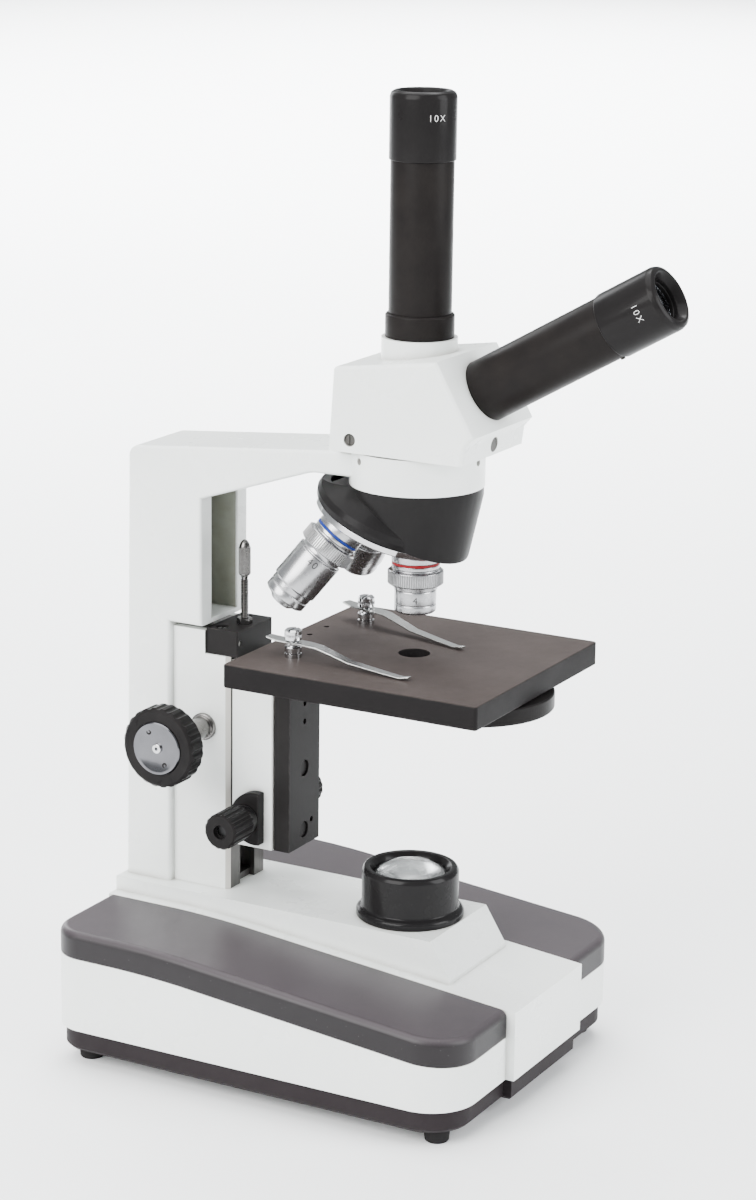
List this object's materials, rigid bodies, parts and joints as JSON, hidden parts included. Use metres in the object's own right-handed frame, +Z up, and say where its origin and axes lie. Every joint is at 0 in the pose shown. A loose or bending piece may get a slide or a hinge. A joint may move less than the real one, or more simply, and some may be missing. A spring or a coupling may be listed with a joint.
{
  "type": "compound microscope",
  "caption": "Upright compound microscope with vertical and inclined eyepiece tubes, revolving nosepiece, focusing stage with clips and a lamp in the base",
  "frame": {"origin": "centre of the bounding box's footprint, on the surface the feet stand on", "axes": "+Z up, -Y towards the user and the inclined eyepiece, +Y the limb, +X to the user's right when facing it from -Y"},
  "size_m": [0.164, 0.2584, 0.4275],
  "materials": {
    "white_paint": "semi-gloss off-white enamel",
    "trim_grey": "satin dark grey paint",
    "black_paint": "semi-gloss black enamel",
    "satin_black": "satin black",
    "stage_black": "matte dark coating",
    "tray_plastic": "matte moulded plastic",
    "black_plastic": "moulded black plastic",
    "knob_plastic": "moulded black plastic, lightly glossy",
    "rubber": "matte",
    "steel": "machined",
    "chrome": "polished",
    "brass": "machined",
    "aluminium": "machined",
    "glass": "clear, polished",
    "red_band": "enamel filled",
    "yellow_band": "enamel filled",
    "blue_band": "enamel filled"
  },
  "bodies": {
    "frame": {"base_shell": "white_paint", "base_tray": "tray_plastic", "left_trim": "trim_grey", "right_trim": "trim_grey", "rubber_feet": "rubber", "base_screws": "steel", "rear_fittings": "black_plastic", "lamp_electrics": "black_plastic", "lamp_housing": "black_plastic", "collector_lens": "glass", "lamp_screws": "steel", "limb": "white_paint", "limb_bolts": "steel", "ring_screws": "chrome", "slideway": "aluminium", "stop_block": "black_paint", "stop_block_fixings": "steel", "shaft_bushes": "chrome", "nosepiece_housing": "black_paint", "turret_pivot_screw": "steel"},
    "power_rocker": {"switch_rocker": "black_plastic"},
    "stop": {"stop_screw": "chrome"},
    "carriage_slide": {"carriage": "white_paint", "rack": "brass", "rack_screws": "steel", "fine_hub": "black_paint"},
    "coarse_drive": {"coarse_shaft": "steel", "coarse_knobs": "knob_plastic", "knob_caps": "chrome"},
    "fine_drive": {"fine_shaft": "steel", "fine_knobs": "knob_plastic"},
    "stage": {"stage_bracket": "stage_black", "fine_slide": "steel", "stage_plate": "stage_black", "stage_fixings": "steel", "clip_posts": "chrome"},
    "near_clip": {"left_clip": "steel"},
    "far_clip": {"right_clip": "steel"},
    "diaphragm": {"disc_diaphragm": "satin_black"},
    "nosepiece": {"turret": "chrome", "objective_4x": "chrome", "objective_4x_ring": "red_band", "objective_10x": "chrome", "objective_10x_ring": "yellow_band", "objective_40x": "chrome", "objective_40x_ring": "blue_band", "objective_lenses": "glass"},
    "spring_tip": {"objective_40x_tip": "chrome"},
    "head": {"head_housing": "white_paint", "head_foot": "aluminium", "head_foot_screws": "steel", "prism": "glass", "head_fittings": "chrome", "upright_tube": "satin_black", "tube_collar": "satin_black", "inclined_tube": "satin_black"},
    "straight_ocular": {"upright_eyepiece": "satin_black", "upright_lenses": "glass"},
    "tilted_ocular": {"inclined_eyepiece": "satin_black", "inclined_lenses": "glass"}
  },
  "joints": [
    {"name": "power_rocker_tilt", "type": "hinge", "parent": "frame", "child": "power_rocker", "pos_m": [0.03, 0.1251, 0.034], "axis": [1, 0, 0], "range_deg": [0, 12]},
    {"name": "stop_screw_travel", "type": "slide", "parent": "frame", "child": "stop", "axis": [0, 0, 1], "range_m": [0, 0.006]},
    {"name": "coarse_stage_travel", "type": "slide", "parent": "frame", "child": "carriage_slide", "axis": [0, 0, 1], "range_m": [-0.015, 0.001]},
    {"name": "coarse_knob_turn", "type": "hinge", "parent": "frame", "child": "coarse_drive", "pos_m": [0, 0.0863, 0.1435], "axis": [1, 0, 0], "range_deg": [-9.85, 143.54]},
    {"name": "fine_stage_travel", "type": "slide", "parent": "carriage_slide", "child": "stage", "axis": [0, 0, 1], "range_m": [-0.0008, 0.0008]},
    {"name": "fine_knob_turn", "type": "hinge", "parent": "carriage_slide", "child": "fine_drive", "pos_m": [0, 0.0627, 0.10545], "axis": [1, 0, 0], "range_deg": [-143.74, 143.74]},
    {"name": "near_clip_swing", "type": "hinge", "parent": "stage", "child": "near_clip", "pos_m": [-0.032, 0.0316, 0.194], "axis": [0, 0, 1], "range_deg": [-14, 20]},
    {"name": "far_clip_swing", "type": "hinge", "parent": "stage", "child": "far_clip", "pos_m": [0.032, 0.0316, 0.194], "axis": [0, 0, 1], "range_deg": [-2, 38]},
    {"name": "diaphragm_turn", "type": "hinge", "parent": "stage", "child": "diaphragm", "pos_m": [0, -0.038, 0.1765], "axis": [0, 0, 1], "continuous": true},
    {"name": "nosepiece_turn", "type": "hinge", "parent": "frame", "child": "nosepiece", "pos_m": [0, -0.0099, 0.2805], "axis": [0, 0.3907, -0.9205], "continuous": true},
    {"name": "tip_spring_travel", "type": "slide", "parent": "nosepiece", "child": "spring_tip", "axis": [0.3384, -0.5395, 0.771], "range_m": [0, 0.0018], "stiffness_N_per_m": 500, "springref_m": -0.002},
    {"name": "head_turn", "type": "hinge", "parent": "frame", "child": "head", "pos_m": [0, -0.0099, 0.2781], "axis": [0, 0, 1], "continuous": true},
    {"name": "straight_eyepiece_pull", "type": "slide", "parent": "head", "child": "straight_ocular", "axis": [0, 0, 1], "range_m": [0, 0.028]},
    {"name": "tilted_eyepiece_pull", "type": "slide", "parent": "head", "child": "tilted_ocular", "axis": [0, -0.866, 0.5], "range_m": [0, 0.028]}
  ],
  "couplings": [
    {"joint": "coarse_knob_turn", "follows": "coarse_stage_travel", "rad_per_m": -166.67},
    {"joint": "fine_knob_turn", "follows": "fine_stage_travel", "rad_per_m": -3125}
  ]
}
